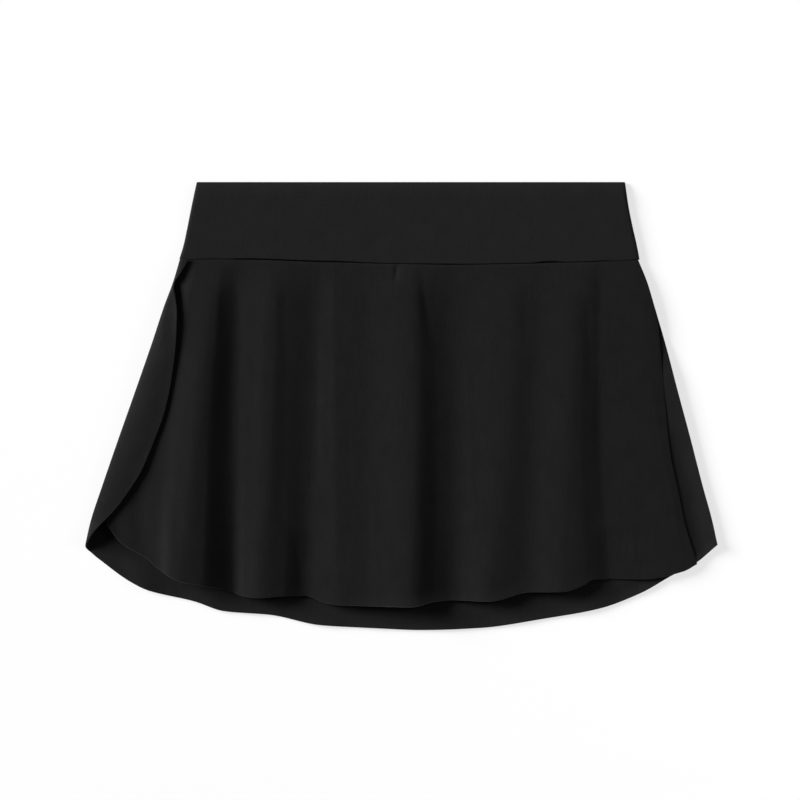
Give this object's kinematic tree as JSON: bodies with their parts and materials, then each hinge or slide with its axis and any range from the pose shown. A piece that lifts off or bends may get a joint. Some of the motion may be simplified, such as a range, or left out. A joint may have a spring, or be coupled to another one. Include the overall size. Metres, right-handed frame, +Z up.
{
  "type": "tennis skort",
  "caption": "Knit tennis skort laid flat, with a wide waistband, a fluted front panel, a longer back panel that wraps forward at the side, and hidden inner shorts.",
  "frame": {"origin": "centre of the garment's box, on the surface it lies on", "axes": "+X towards the wearer's left side, +Y towards the waist, +Z up out of the front of the garment"},
  "size_m": [0.5048, 0.358, 0.0178],
  "materials": {
    "band_knit": "smooth matt double knit",
    "skirt_knit": "matt fine knit",
    "shorts_knit": "matt fine knit"
  },
  "bodies": {
    "root": {"waistband_front": "band_knit", "waistband_back": "band_knit", "skirt_front": "skirt_knit", "skirt_back": "skirt_knit", "shorts_front_left": "shorts_knit", "shorts_front_right": "shorts_knit", "shorts_back_left": "shorts_knit", "shorts_back_right": "shorts_knit"}
  },
  "joints": []
}
